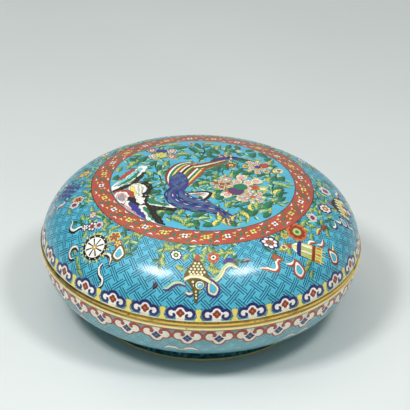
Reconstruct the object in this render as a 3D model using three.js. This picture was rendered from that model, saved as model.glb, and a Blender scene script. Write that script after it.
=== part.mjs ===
// A round Chinese cloisonne enamel box with a domed cover: millimetres, +Z up, floor at Z = 0.
import * as THREE from 'three';

// Driving dimensions
const RIM_RADIUS = 150; // the gilt bands, the widest part of the box
const RIM_BOTTOM = 64; // lower edge of the bowl's gilt band above the floor
const BAND_HEIGHT = 3.9; // height of each gilt band
const GAP = 0.3; // clearance between pieces that rest on or fit in each other
const WALL = 3; // copper with enamel on both faces

// The cover's dome is a superellipse: a flattened crown, a full shoulder and an upright lower wall
const LID_RADIUS = 149.4;
const LID_RISE = 67; // crown above the lower edge of the gilt bands
const LID_FULLNESS = 4.3;

// The bowl is a fuller superellipse with a nearly flat base
const BOWL_RADIUS = 147.9;
const BOWL_DEPTH = 52; // base below the lower edge of the gilt bands
const BOWL_FULLNESS = 5.4;

// Gilt bands and the lip that the cover fits over
const BAND_THICKNESS = 5.5;
const BAND_CROWN = 0.7; // how far the band's face bulges past its edges
const LIP_THICKNESS = 2.4;
const LIP_HEIGHT = 3.5; // how far the lip stands above the cover's lower edge
const LIP_PLAY = 0.5; // how loosely the cover's band fits over the lip

// Foot ring
const FOOT_BASE_RADIUS = 102;
const FOOT_THICKNESS = 4;
const FOOT_FLARE = 2.4; // how far the foot's edge stands out past its wall
const FOOT_BEAD_HEIGHT = 2;

// Facets
const TURN_SEGMENTS = 60;
const SHELL_STEPS = 13;
const BAND_STEPS = 4;

const LID_EDGE = RIM_BOTTOM + 2 * BAND_HEIGHT + 2 * GAP;

function heightOnSuperellipse(radius, fullRadius, rise, fullness) {
  return rise * Math.sqrt(1 - (radius / fullRadius) ** fullness);
}

// Points from the axis outwards, down to the angle where the curve reaches edgeRise above its base line
function superellipseProfile(fullRadius, rise, fullness, edgeRise) {
  const endAngle = Math.acos(edgeRise / rise);
  const points = [];
  for (let step = 0; step <= SHELL_STEPS; step += 1) {
    const angle = (endAngle * step) / SHELL_STEPS;
    const radius = fullRadius * Math.sin(angle) ** (2 / fullness);
    points.push([radius, rise * Math.cos(angle)]);
  }
  return points;
}

// Turns an outline of [radius, height] pairs about the Z axis
function turned(outline) {
  const points = outline.map(([radius, height]) => new THREE.Vector2(radius, height));
  const geometry = new THREE.LatheGeometry(points, TURN_SEGMENTS);
  geometry.rotateX(Math.PI / 2);
  return geometry;
}

function closedOutline(outline) {
  return [...outline, outline[0]];
}

function lidGeometry() {
  const edgeRise = LID_EDGE - RIM_BOTTOM;
  const toHeight = ([radius, rise]) => [radius, RIM_BOTTOM + rise];
  const outside = superellipseProfile(LID_RADIUS, LID_RISE, LID_FULLNESS, edgeRise);
  const inside = superellipseProfile(LID_RADIUS - WALL, LID_RISE - WALL, LID_FULLNESS, edgeRise);
  return turned([...inside, ...outside.reverse()].map(toHeight));
}

function bowlGeometry() {
  const toHeight = ([radius, depth]) => [radius, RIM_BOTTOM - depth];
  const outside = superellipseProfile(BOWL_RADIUS, BOWL_DEPTH, BOWL_FULLNESS, GAP);
  const inside = superellipseProfile(BOWL_RADIUS - WALL, BOWL_DEPTH - WALL, BOWL_FULLNESS, GAP);
  return turned([...outside, ...inside.reverse()].map(toHeight));
}

// The band's outer face, a shallow arc from its lower to its upper edge
function bandFace(bottom) {
  const face = [];
  for (let step = 0; step <= BAND_STEPS; step += 1) {
    const share = step / BAND_STEPS;
    const bulge = BAND_CROWN * Math.sin(Math.PI * share);
    face.push([RIM_RADIUS - BAND_CROWN + bulge, bottom + BAND_HEIGHT * share]);
  }
  return face;
}

function lidRimGeometry() {
  const bottom = RIM_BOTTOM + BAND_HEIGHT + GAP;
  const inner = RIM_RADIUS - BAND_THICKNESS;
  return turned(closedOutline([[inner, bottom], ...bandFace(bottom), [inner, bottom + BAND_HEIGHT]]));
}

function bowlRimGeometry() {
  const bandTop = RIM_BOTTOM + BAND_HEIGHT;
  const lipOuter = RIM_RADIUS - BAND_THICKNESS - LIP_PLAY;
  const lipInner = lipOuter - LIP_THICKNESS;
  const lipTop = LID_EDGE + LIP_HEIGHT;
  return turned(closedOutline([
    [lipInner, RIM_BOTTOM],
    ...bandFace(RIM_BOTTOM),
    [lipOuter, bandTop],
    [lipOuter, lipTop],
    [lipInner, lipTop],
  ]));
}

function underBowl(radius) {
  const depth = heightOnSuperellipse(radius, BOWL_RADIUS, BOWL_DEPTH, BOWL_FULLNESS);
  return RIM_BOTTOM - depth - GAP;
}

function footGeometry() {
  const wallOuter = FOOT_BASE_RADIUS - FOOT_FLARE;
  const wallInner = wallOuter - FOOT_THICKNESS;
  return turned(closedOutline([
    [wallInner, 0],
    [FOOT_BASE_RADIUS - FOOT_BEAD_HEIGHT / 4, 0],
    [FOOT_BASE_RADIUS, FOOT_BEAD_HEIGHT / 2],
    [FOOT_BASE_RADIUS - FOOT_BEAD_HEIGHT / 4, FOOT_BEAD_HEIGHT],
    [wallOuter, FOOT_BEAD_HEIGHT + FOOT_FLARE / 2],
    [wallOuter, underBowl(wallOuter)],
    [wallInner, underBowl(wallInner)],
  ]));
}

function piece(name, geometry, material) {
  const mesh = new THREE.Mesh(geometry, material);
  mesh.name = name;
  return mesh;
}

function enamel(color) {
  return new THREE.MeshStandardMaterial({ color, roughness: 0.18, metalness: 0 });
}

function gilding(color) {
  return new THREE.MeshStandardMaterial({ color, roughness: 0.32, metalness: 1 });
}

const box = new THREE.Group();
box.add(piece('foot_ring', footGeometry(), enamel(0x1d3f4f)));
box.add(piece('bowl', bowlGeometry(), enamel(0x4d97a6)));
box.add(piece('bowl_rim', bowlRimGeometry(), gilding(0xd9a850)));
box.add(piece('lid_rim', lidRimGeometry(), gilding(0xb98c3c)));
box.add(piece('lid', lidGeometry(), enamel(0x2f93b0)));

export default box;
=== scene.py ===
"""Looks of a round cloisonne enamel box: enamel cells between gilt wires, gilt bands, foot, floor and light.

The enamel is drawn as flat cells in millimetres, on a map of each shell laid out round its axis, and the
map is then laid on the shell's true surface. Everything in the scene itself is in metres.
"""
import math
from typing import Callable, NamedTuple

import bpy
import numpy as np
from mathutils import Matrix, Vector
from mathutils.geometry import delaunay_2d_cdt


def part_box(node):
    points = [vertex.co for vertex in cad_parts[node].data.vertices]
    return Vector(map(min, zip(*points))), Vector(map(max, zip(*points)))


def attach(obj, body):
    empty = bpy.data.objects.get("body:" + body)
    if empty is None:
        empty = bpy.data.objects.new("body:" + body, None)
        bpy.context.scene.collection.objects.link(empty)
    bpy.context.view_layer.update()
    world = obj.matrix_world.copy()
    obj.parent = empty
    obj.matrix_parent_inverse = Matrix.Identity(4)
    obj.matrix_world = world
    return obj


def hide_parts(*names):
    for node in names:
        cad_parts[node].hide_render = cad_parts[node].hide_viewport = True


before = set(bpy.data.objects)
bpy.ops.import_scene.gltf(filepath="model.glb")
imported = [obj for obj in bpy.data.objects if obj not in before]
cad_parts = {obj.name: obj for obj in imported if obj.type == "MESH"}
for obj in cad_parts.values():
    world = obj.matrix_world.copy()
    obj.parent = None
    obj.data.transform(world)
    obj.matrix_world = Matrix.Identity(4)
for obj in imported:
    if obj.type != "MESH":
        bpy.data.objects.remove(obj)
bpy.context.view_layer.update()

MM = 0.001

# Driving sizes, from the frame
LID_LOW, LID_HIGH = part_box("lid")
BOWL_LOW, BOWL_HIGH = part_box("bowl")
BOWL_RIM_LOW, BOWL_RIM_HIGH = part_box("bowl_rim")
LID_RIM_LOW, LID_RIM_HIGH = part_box("lid_rim")
FOOT_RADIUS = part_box("foot_ring")[1].x
RIM_BOTTOM = BOWL_RIM_LOW.z
RIM_RADIUS = LID_RIM_HIGH.x
BAND_HEIGHT = LID_RIM_HIGH.z - LID_RIM_LOW.z
BAND_GAP = LID_LOW.z - LID_RIM_HIGH.z

# The shells' sections, as they are constructed
WALL = 3 * MM
LID_FULLNESS = 4.3
BOWL_FULLNESS = 5.4
BAND_THICKNESS = 5.5 * MM
BAND_CROWN = 0.7 * MM
LIP_PLAY = 0.5 * MM
LIP_THICKNESS = 2.4 * MM

# Camera: a long lens from the front, a little above
CAMERA_PLACE = Vector((0, -1.6566, 1.0464))
CAMERA_TARGET = Vector((0.0028, 0, 0.1058))
CAMERA_ROLL = math.radians(1.82)
CAMERA_LENS = 180.05

# Zones of the cover, as lengths over its surface from the crown (mm)
MEDALLION = 85.3
MEDALLION_INSET = 0.6
RING_OUTER = 103.3
RING_MIDDLE = (RING_OUTER + MEDALLION) / 2 - 0.6

# Wires round the zones, and how far the first colour and the fret stay from the shells' edges (mm)
MEDALLION_WIRE = 0.7
RING_WIRE_OUT = 0.5
RING_WIRE_IN = 0.3
LID_EDGE_LINE = 0.9
BOWL_EDGE_LINE = 1.3
FRET_MARGIN = 1.4

# Wires round the cells, and how finely their outlines are cut and kept (mm)
WIRE = 0.42
FINE = 0.28
LONG_EDGE = 4.0
LINE_TOLERANCE = 0.05
MERGE_DISTANCE = 1e-3
EDGE_MARGIN = 0.06
CHUNK = 200000  # how many comparisons of points and edges are made at once

# Rings of points that fill the shells between the drawn lines (mm): closer below the shoulder
FILL_START = 4.0
FILL_ROUND = 6.0
FILL_CROWN = 4.8
FILL_BELOW = 2.8
FILL_SHOULDER = 0.78
FILL_TWIST = 1.7
INNER_RINGS = 14
LINING = "turquoise"
LID_SIDES = 360
BOWL_SIDES = 300
BAND_SIDES = 240

# The map for baking: the outer face in a big disc, the edge and inner face in a small one
BIG_DISC = (0.4, 0.395)
SMALL_DISC = (0.89, 0.1)

# The fret: bars with T ends on a lattice, in lattice steps, and their widths (mm)
FRET_REPEATS = 60
FRET_REFERENCE = 140.0
FRET_STEM = 8.0
FRET_CROSS = 6.0
LID_FRET_WIDTH = 0.95
BASE_FRET_WIDTH = 0.6
BASE_FRET_START = 108.0

# The cover's borders: cloud heads at the edge, florets in the ring; angles in degrees from the front
LID_HEADS = 29
LID_HEAD_START = 6.2
HEAD_CENTRE = 170.2
FLORETS = 26
FLORET_STATIONS = (0, 5, 10, 14, 26)
FLORET_ANGLES = (-114.8, -44.1, 14.7, 74.9, 245.2)

# The bowl's border and its low flowers
BASE_HEADS = 33
BASE_HEAD_START = -3.6
LOTUS_COUNT = 8
LOTUS_START = -6.0
LOTUS_DROP = 29.0

# The undergrowth of the medallion (mm)
SPRAY_PITCH = 13.0
SPRAY_ROW = 0.87
SPRAY_SHIFT = 2.5
SPRAY_TURN = 20
SPRAY_MARGIN = 7
UNDERGROWTH_SEED = 11

# Foot
FOOT_FLARE = 2.4 * MM
FOOT_THICKNESS = 4 * MM
FOOT_BEAD = 2 * MM

# Studio; the lights' azimuth and elevation in degrees, distance and size in metres, power in watts
LIGHTS = (
    ("left_softbox", -43.3, 56.3, 1.7, (0.4, 0.32), 15),
    ("right_softbox", 47.1, 60.6, 1.7, (0.36, 0.28), 10.5),
    ("overhead", -125, 74, 2.2, (1.5, 1.5), 7),
)
FLOOR_HALF = 6.0
WORLD_STRENGTH = 0.53
BACKDROP = (0.8, 0.83, 0.82)
WORLD_STOPS = ((0.0, (0.10, 0.11, 0.12)), (0.25, (0.16, 0.17, 0.18)), (0.6, (0.6, 0.63, 0.64)),
               (1.0, (0.95, 1.0, 1.0)))


# ---------------------------------------------------------------- colours

def srgb(code):
    """A web colour as linear red, green, blue."""
    parts = [int(code[i:i + 2], 16) / 255 for i in (1, 3, 5)]
    return [c / 12.92 if c <= 0.04045 else ((c + 0.055) / 1.055) ** 2.4 for c in parts]


ENAMELS = {name: srgb(code) for name, code in {
    "turquoise": "#56b6cc",
    "sky": "#52b0cc",
    "fret": "#155676",
    "pale_turquoise": "#7fd0d8",
    "coral": "#ae4d3f",
    "rust": "#93351c",
    "orange": "#cf6a3c",
    "pink": "#e3a4a0",
    "navy": "#232c70",
    "violet": "#393a8c",
    "blue": "#38668f",
    "purple": "#5f3f72",
    "black": "#1d1e1c",
    "white": "#f1efe6",
    "cream": "#e9e3bf",
    "yellow": "#ecdb72",
    "lime": "#b4c46c",
    "green": "#24805c",
    "deep_green": "#1d5a48",
    "pale_green": "#b7d8a6",
    "olive": "#5a5526",
    "grey": "#8f9aa0",
    "gold": "#c9a24a",
    "base": "#78b9c2",
    "base_fret": "#55808f",
    "base_red": "#b4483f",
    "base_white": "#f8f0de",
}.items()}
WIRE_SLOT = 1


# ---------------------------------------------------------------- outlines, in millimetres

class Cell(NamedTuple):
    """Closed outlines filled with one colour of enamel, with a wire round all of them together."""
    outlines: list
    colour: str
    wire: float = WIRE


def polar(radius, angle):
    return np.c_[radius * np.cos(angle), radius * np.sin(angle)]


def ellipse(x, y, half_width, half_height=None, turn=0.0):
    half_height = half_width if half_height is None else half_height
    count = int(np.clip(8 + 2.6 * max(half_width, half_height), 9, 48))
    angle = np.linspace(0, 2 * math.pi, count, endpoint=False)
    return turned(np.c_[half_width * np.cos(angle), half_height * np.sin(angle)], turn) + (x, y)


def turned(points, degrees):
    a = math.radians(degrees)
    return np.asarray(points, float) @ np.array([[math.cos(a), math.sin(a)], [-math.sin(a), math.cos(a)]])


def arc(x, y, radius, start, end, steps=10):
    return polar(radius, np.radians(np.linspace(start, end, steps + 1))) + (x, y)


def smooth(points, closed=True, steps=4):
    """A curve through all the points (Catmull-Rom)."""
    p = np.asarray(points, float)
    count = len(p)
    if closed:
        ends = [np.roll(p, k, axis=0) for k in (1, 0, -1, -2)]
    else:
        padded = np.vstack([2 * p[0] - p[1], p, 2 * p[-1] - p[-2]])
        ends = [padded[k:k + count - 1] for k in range(4)]
    a, b, c, d = ends
    t = np.linspace(0, 1, steps, endpoint=False)[None, :, None]
    a, b, c, d = (e[:, None, :] for e in (a, b, c, d))
    curve = 0.5 * (2 * b + (c - a) * t + (2 * a - 5 * b + 4 * c - d) * t ** 2
                   + (3 * b - a - 3 * c + d) * t ** 3)
    curve = curve.reshape(-1, 2)
    return curve if closed else np.vstack([curve, p[-1]])


def sideways(path):
    """Unit vectors across a path, to its left."""
    along = np.gradient(path, axis=0)
    along /= np.maximum(np.hypot(*along.T), 1e-9)[:, None]
    return np.c_[-along[:, 1], along[:, 0]]


def stroke(path, widths):
    """The outline of a band along a path, with widths spread evenly from its start to its end."""
    path = np.asarray(path, float)
    share = np.linspace(0, 1, len(path))
    half = np.interp(share, np.linspace(0, 1, len(np.atleast_1d(widths))), np.atleast_1d(widths)) / 2
    across = sideways(path) * half[:, None]
    return np.vstack([path + across, (path - across)[::-1]])


def band(points, widths, colour, wire=WIRE, steps=4):
    """A cell along a curve through the points."""
    return Cell([stroke(smooth(points, closed=False, steps=steps), widths)], colour, wire)


def bar(points, widths, colour, wire=WIRE):
    """A cell along the straight runs between the points."""
    return Cell([stroke(points, widths)], colour, wire)


def blob(points, colour, wire=WIRE, steps=3):
    """A cell with a curved outline through the points."""
    return Cell([smooth(points, steps=steps)], colour, wire)


def plate(points, colour, wire=WIRE):
    """A cell with straight edges between the points."""
    return Cell([np.array(points, float)], colour, wire)


def oval(x, y, half_width, half_height, colour, wire=WIRE, turn=0.0):
    return Cell([ellipse(x, y, half_width, half_height, turn)], colour, wire)


def dot(x, y, radius, colour, wire=FINE):
    return oval(x, y, radius, radius, colour, wire)


def on_circle(radius, angles):
    """Points round the origin, at angles in degrees."""
    return polar(radius, np.radians(angles))


def area(outline):
    x, y = outline.T
    return 0.5 * float(np.sum(x * np.roll(y, -1) - y * np.roll(x, -1)))


def grown(outline, by):
    """The outline moved outwards all round."""
    if area(outline) < 0:
        outline = outline[::-1]
    before = outline - np.roll(outline, 1, axis=0)
    after = np.roll(outline, -1, axis=0) - outline
    before /= np.maximum(np.hypot(*before.T), 1e-9)[:, None]
    after /= np.maximum(np.hypot(*after.T), 1e-9)[:, None]
    tangent = before + after
    tangent /= np.maximum(np.hypot(*tangent.T), 0.35)[:, None]
    return outline + by * np.c_[tangent[:, 1], -tangent[:, 0]]


def moved(cells, x=0.0, y=0.0, turn=0.0, size=1.0):
    return [Cell([turned(outline * size, turn) + (x, y) for outline in cell.outlines], cell.colour, cell.wire)
            for cell in cells]


# ---------------------------------------------------------------- small motifs

def leaf_shape(length, width, bend=0.0, count=9):
    """A leaf along x about the origin: spine, half widths, directions across, outline and upper half."""
    t = np.linspace(0, 1, count)
    spine = np.c_[length * (t - 0.5), bend * length * np.sin(math.pi * t)]
    half = (width / 2 * np.sin(math.pi * t ** 0.8))[:, None]
    across = sideways(spine)
    back = (spine + across * half)[::-1][1:-1]
    return spine, half, across, np.vstack([spine - across * half, back]), np.vstack([spine, back])


def leaf(length=13.0, width=6.0, bend=0.12, light="lime", dark="green"):
    """A leaf with one half light with dark veins and the other dark with light ones."""
    spine, half, across, whole, upper = leaf_shape(length, width, bend)
    cells = [Cell([whole], dark), Cell([upper], light, FINE)]
    for station in (2, 4, 6):
        for side, widths, colour in ((0.8, [0.6, 0.3], dark), (-0.8, [0.5, 0.25], light)):
            tip = spine[station] + side * across[station] * half[station]
            cells.append(bar(np.vstack([spine[station - 1], tip]), widths, colour, 0))
    return cells


def petals(count, at, size, colour, start=90.0, wire=FINE):
    """Round petals in a ring, as one cell."""
    angles = [start + 360 * i / count for i in range(count)]
    outlines = [ellipse(x, y, size, size, angle) for (x, y), angle in zip(on_circle(at, angles), angles)]
    return Cell(outlines, colour, wire)


def heart_petal(size, outer, inner):
    """A notched petal, foot at the origin and tip up, with a flame of a second colour and fine lines."""
    shape = np.array([(0, 0), (0.55, 0.35), (0.62, 0.95), (0.32, 1.3), (0, 1.12), (-0.32, 1.3), (-0.62, 0.95),
                      (-0.55, 0.35)])
    flame = np.array([(0, 0.05), (0.24, 0.4), (0.26, 0.8), (0, 1.0), (-0.26, 0.8), (-0.24, 0.4)])
    vein = np.array([(0.3, 0.4), (0.44, 0.75), (0.4, 1.1)])
    return [blob(shape * size, outer, FINE), blob(flame * size, inner, 0.2, 2),
            *(bar(vein * (side, 1) * size, [0.3, 0.3], "wire", 0) for side in (-1, 1))]


def blossom(radius, outer, inner, heart, centre="yellow", count=6):
    return [
        petals(count, radius * 0.62, radius * 0.4, outer),
        petals(count, radius * 0.6, radius * 0.22, inner, wire=0.2),
        dot(0, 0, radius * 0.42, heart),
        dot(0, 0, radius * 0.18, centre, 0.15),
    ]


def quatrefoil(radius, colour, heart):
    return [petals(4, radius * 0.52, radius * 0.46, colour), dot(0, 0, radius * 0.26, heart, 0.15)]


def floret(colour, heart):
    return [petals(4, 2.0, 1.25, colour, 45), dot(0, 0, 1.0, heart, 0.15)]


FLAMES = {"pink": "white", "white": "pink", "cream": "pink", "yellow": "orange", "lime": "cream",
          "pale_green": "white"}


def peony(radius, outer, middle, heart="green"):
    """A loose, many-petalled flower: three rows of notched petals, coloured in turn."""
    cells = []
    for row, (count, at, size, colours) in enumerate(((8, 0.6, 0.33, outer), (7, 0.3, 0.3, middle),
                                                      (5, 0.08, 0.24, outer))):
        for i in range(count):
            angle = 360 * i / count + 20 * row
            x, y = on_circle(at * radius, [angle + 90])[0]
            colour = colours[i % len(colours)]
            cells += moved(heart_petal(size * radius, colour, FLAMES.get(colour, "coral")), x, y, angle)
    return cells + [oval(0, 0, radius * 0.2, radius * 0.17, heart, FINE)]


# ---------------------------------------------------------------- borders

def ruyi_head():
    """A scrolled cloud head of the cover's border: navy band, white field, rust flower. Apex is up."""
    turn = np.radians(np.linspace(-235, 128, 20))
    curl = np.clip((np.radians(-60) - turn) / np.radians(175), 0, 1)
    side = np.c_[7.9 - 0.2 * curl, 0.4 - 2.1 * curl] + polar(1, turn) * (4.1 - 2.4 * curl)[:, None]
    top = arc(0, 2.2, 5.4, 16, 164, 12)
    lobe = side[9:]
    foot = [(-3.4, -3.6), (-4.6, -6.4), (4.6, -6.4), (3.4, -3.6)]
    return [
        Cell([np.vstack([lobe, top, (lobe * (-1, 1))[::-1], foot])], "white", 0),
        plate([(-2.8, -3.4), (2.8, -3.4), (4.4, -6.4), (-4.4, -6.4)], "cream", 0),
        bar(np.vstack([side, top, (side * (-1, 1))[::-1]]), [1.3] + [2.3] * 12 + [1.3], "navy", FINE),
        *moved(quatrefoil(3.6, "rust", "orange"), 0, 0.9),
    ]


def border_wedge():
    return [blob([(-2.7, 3.6), (-1.6, 5.0), (1.6, 5.0), (2.7, 3.6), (1.8, 0.6), (1.5, -2.2), (3.6, -6.4),
                  (-3.6, -6.4), (-1.5, -2.2), (-1.8, 0.6)], "yellow", FINE)]


def base_head():
    """A hanging cloud head of the bowl's border, in white with a red line. The band is up, at y = 0."""
    side = arc(8.0, -7.8, 5.0, 165, -110, 14)
    path = np.vstack([side, arc(0, -12.3, 5.6, -40, -140, 10), (side * (-1, 1))[::-1]])
    line = stroke(path, [2.6, 2.4, 1.5, 1.2, 1.1, 1.1, 1.1, 1.2, 1.5, 2.4, 2.6])
    return [
        Cell([np.vstack([path, [(-3.4, -1.4), (3.4, -1.4)]])], "base_white", 0),
        Cell([line] + [ellipse(sign * 4.3, -6.6, 1.7, 1.5) for sign in (-1, 1)], "base_red", 0.2),
        oval(0, -10.6, 4.3, 3.4, "base_white", 0),
        *moved(diamond_flower(), 0, -10.4),
    ]


def diamond_flower():
    vein = stroke([(-2.9, -2.9), (0, 0), (2.9, 2.9)], [0.5, 0.5]) * 0.75
    return [plate([(0, 4.4), (4.4, 0), (0, -4.4), (-4.4, 0)], "navy", FINE),
            *(Cell([turned(vein, turn)], "grey", 0) for turn in (0, 90))]


def base_bar():
    return [bar([(0, -5.2), (0, -10.8)], [2.4, 2.0], "base_red", 0.2),
            plate([(-3.2, -1.6), (3.2, -1.6), (1.4, -5.2), (-1.4, -5.2)], "grey", 0.2)]


# ---------------------------------------------------------------- emblems

def wheel():
    ray = stroke([(12.8, 0), (14.4, 0.9), (16.2, -0.3)], [1.5, 1.2, 0.3])
    spoke = np.array([(2.2, -0.35), (9.0, -0.75), (9.0, 0.75), (2.2, 0.35)])
    return [
        *(Cell([turned(ray, 15.0 * i)], ("lime", "yellow")[i % 2], 0.2) for i in range(24)),
        dot(0, 0, 12.4, "black"),
        *(dot(x, y, 0.65, "cream", 0) for x, y in on_circle(11.3, [30.0 * i + 12 for i in range(12)])),
        dot(0, 0, 10.0, "white"),
        *(Cell([turned(spoke, 45.0 * i)], "black", 0.15) for i in range(8)),
        dot(0, 0, 2.4, "gold"),
        dot(0, 0, 1.0, "cream", 0.2),
    ]


def conch():
    """A conch shell, tip up, its mouth at the right and its tail hanging."""
    rows = ((12.4, 2), (9.4, 3), (6.4, 4), (3.4, 5), (0.9, 4), (-6.4, 3), (-9.6, 2), (-12.6, 1))
    pearls = [((i - (count - 1) / 2) * 3.5 + 0.5 * (row % 2), y, 1.15)
              for row, (y, count) in enumerate(rows) for i in range(count)]
    pearls += [(0.3, -15.5, 0.95), (0.6, -18.6, 0.95), (0.8, -21.6, 0.95)]
    cells = [
        blob([(0, 21), (3.2, 14.5), (8.5, 6), (12.5, -2.5), (10.5, -6.5), (5.5, -10), (2.8, -16), (2.4, -24),
              (0, -26), (-2.0, -18), (-5.0, -10), (-11, -3), (-10.5, 3), (-5.5, 10), (-2.8, 16)], "olive"),
        blob([(0, 22.5), (2.9, 17), (0.2, 15.4), (-2.6, 17)], "coral"),
        band([(-11.5, -4.6), (-5, -1.4), (2, -1.0), (9, -3.6), (14, -7)], [2.4, 3.0, 3.0, 2.4], "cream"),
        *(dot(x, y, radius, "cream", 0.25) for x, y, radius in pearls),
        oval(3.4, -9.4, 5.0, 4.8, "black"),
        oval(3.6, -9.4, 4.2, 4.0, "cream", 0),
        oval(4.0, -9.6, 2.9, 2.8, "sky", FINE),
        band([(2.0, -10.4), (3.4, -8.4), (5.6, -8.6)], [0.7, 1.1, 0.4], "white", 0, 3),
    ]
    return moved(cells, 0.4, -2.0, 0, 0.92)


def parasol():
    """A closed parasol or banner, knob at the top (y up), fringe at the bottom."""
    cells = [
        blob([(0, 21.5), (2.2, 18.5), (0, 15.5), (-2.2, 18.5)], "coral"),
        blob([(-2, 16), (2, 16), (5.4, 10.4), (-5.4, 10.4)], "white"),
        blob([(-1, 15.5), (1, 15.5), (2.0, 11), (-2.0, 11)], "yellow", FINE),
        blob([(-6, 11), (6, 11), (7.4, 7), (0, 6), (-7.4, 7)], "navy"),
        plate([(-6.6, 7.4), (6.6, 7.4), (7.2, -4.2), (-7.2, -4.2)], "yellow"),
    ]
    for i in range(4):
        x = -4.5 + 3.0 * i
        gore = [(x - 1.1, 6.6), (x + 1.1, 6.6), (x + 1.3, -3.2), (x - 1.3, -3.2)]
        cells.append(blob(gore, ("lime", "cream")[i % 2], FINE, 2))
    cells.append(plate([(-7.4, -4.2), (7.4, -4.2), (7.8, -7.6), (-7.8, -7.6)], "rust"))
    cells.append(plate([(-7.2, -7.6), (7.2, -7.6), (8.0, -15), (-8.0, -15)], "yellow"))
    for i in range(5):
        x = -6.0 + 3.0 * i
        cells.append(bar([(x, -8.4), (x * 1.06, -13.6)], [1.3, 1.6], ("orange", "lime")[i % 2], FINE))
    for i in range(7):
        x = -7.2 + 2.4 * i
        colour = ("pale_turquoise", "yellow")[i % 2]
        cells.append(bar([(x, -14.8), (x * 1.1, -19.4)], [1.2, 0.7], colour, 0.2))
    return cells


def canopy():
    """A state canopy: scalloped top, flared skirt and hanging tassels."""
    scallops = [(x, 8.6 - abs(x) * 0.28) for x in (-9.5 + 3.8 * i for i in range(6))]
    return [
        blob([(0, 17), (2.4, 13.6), (0, 10.6), (-2.4, 13.6)], "coral"),
        blob([(-3, 12), (3, 12), (10, 6), (13.5, 1.5), (0, 3.2), (-13.5, 1.5), (-10, 6)], "black"),
        *(blob([(x - 1.6, 3.2), (x, top), (x + 1.6, 3.2), (x, 1.9)], "cream", FINE) for x, top in scallops),
        plate([(-12.6, 1.8), (12.6, 1.8), (11.4, -4.4), (-11.4, -4.4)], "yellow"),
        *(oval(-10.2 + 3.4 * i, -4.6, 1.9, 3.0, ("white", "coral", "lime")[i % 3], FINE) for i in range(7)),
        *(band([(sign * 12.4, 0), (sign * 14.6, -5), (sign * 13.2, -11)], [1.6, 2.2, 0.8], "navy")
          for sign in (-1, 1)),
        plate([(-5.4, -7.2), (5.4, -7.2), (3.6, -15.5), (-3.6, -15.5)], "navy"),
        oval(0, -11, 2.6, 3.0, "white", FINE),
    ]


def lotus():
    petal = smooth([(0, -7), (4.6, 1), (0, 12.5), (-4.6, 1)], steps=4)
    cells = [oval(0, -9.5, 9.5, 4.8, "green")]
    for turn in (62, -62, 38, -38, 14, -14, 0):
        colour = "pink" if turn in (62, -62, 14, -14) else "white"
        cells.append(Cell([turned(petal, turn) + (0, -3)], colour))
        cells.append(Cell([turned(petal * 0.42 + (0, 5.2), turn) + (0, -3)], "coral", 0.2))
    return cells + [oval(0, -8.8, 5.0, 2.4, "lime", FINE)]


def vase():
    return [
        blob([(-3.2, 15), (3.2, 15), (2.0, 10), (2.6, 7.6), (8.8, 2.4), (7.6, -6), (3.6, -11), (4.8, -15),
              (-4.8, -15), (-3.6, -11), (-7.6, -6), (-8.8, 2.4), (-2.6, 7.6), (-2.0, 10)], "navy"),
        oval(0, 0.2, 6.6, 4.0, "white", FINE),
        *moved(blossom(3.6, "coral", "pink", "yellow", "rust"), 0, 0.2),
        plate([(-2.6, 10.4), (2.6, 10.4), (2.3, 8.4), (-2.3, 8.4)], "gold", FINE),
        plate([(-3.8, -10.2), (3.8, -10.2), (4.3, -12.4), (-4.3, -12.4)], "gold", FINE),
        band([(0, 15), (-2, 19), (-5, 21)], [1.2, 1.8, 0.6], "lime"),
        band([(0, 15), (3, 18.5), (6, 19.5)], [1.2, 1.8, 0.6], "coral"),
    ]


def fish(body, turn):
    scales = [oval(-0.6 + 3.0 * i, 1.5 - 3.0 * j, 1.5, 1.3, ("orange", "cream")[(i + j) % 2], 0.2)
              for i in range(3) for j in range(2)]
    outline = blob([(-6.8, 0), (-3, 4.4), (4.5, 3.2), (9.6, 0.4), (14.2, 4.6), (12.6, 0), (14.2, -4.6),
                    (9.4, -0.6), (4.5, -3.4), (-3, -4.2)], body)
    return moved([outline, *scales, dot(-4.6, 0.8, 0.9, "navy", 0.3)], -5 if turn < 90 else 6, 3, turn)


def fish_pair():
    return fish("yellow", 62) + fish("coral", 118)


def endless_knot():
    """Woven loops: two sets of slanted bands, over and under."""
    strand = [2.8, 2.8, 2.8]
    cells = [Cell([turned(stroke([(-11.5, shift), (0, shift), (11.5, shift)], strand), turn)], colour)
             for shift in (-5.4, 0, 5.4) for turn, colour in ((45, "violet"), (-45, "blue"))]
    bridge = turned(stroke([(-2.4, 0), (2.4, 0)], [2.8, 2.8]), 45)
    for spot in ((-5.4, 0), (0, -5.4), (0, 5.4), (5.4, 0)):
        cells.append(Cell([bridge + turned([spot], 45)[0]], "violet", FINE))
    for x, y in on_circle(14.2, [0, 90, 180, 270]):
        cells += [oval(x, y, 3.4, 3.0, "blue"), oval(x, y, 1.7, 1.4, "pale_turquoise", FINE)]
    return cells


# ---------------------------------------------------------------- ribbons and sprays round an emblem

def loop(outer, inner="white", length=14.0, width=9.0):
    """A hanging ribbon loop, a drop shape with its tip up at the origin."""
    drop = smooth([(0, 0), (width * 0.42, -length * 0.45), (width * 0.45, -length * 0.75), (0, -length),
                   (-width * 0.45, -length * 0.75), (-width * 0.42, -length * 0.45)], steps=4)
    middle = np.array([0, -length * 0.62])
    return [Cell([drop], outer), Cell([(drop - middle) * 0.74 + middle + (0, 0.4)], inner, FINE),
            Cell([(drop - middle) * 0.46 + middle + (0, 0.6)], "turquoise", FINE)]


def wave(points, top, under, widths=(1.2, 3.0, 3.4, 2.6, 0.6)):
    """A fluttering ribbon: its light upper face with the dark under face showing along one edge."""
    path = smooth(points, closed=False)
    below = path + np.array([0.6, -1.3])
    return [Cell([stroke(below, widths)], under), Cell([stroke(path, [w * 0.62 for w in widths])], top, FINE)]


# ---------------------------------------------------------------- shells laid out flat

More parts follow.
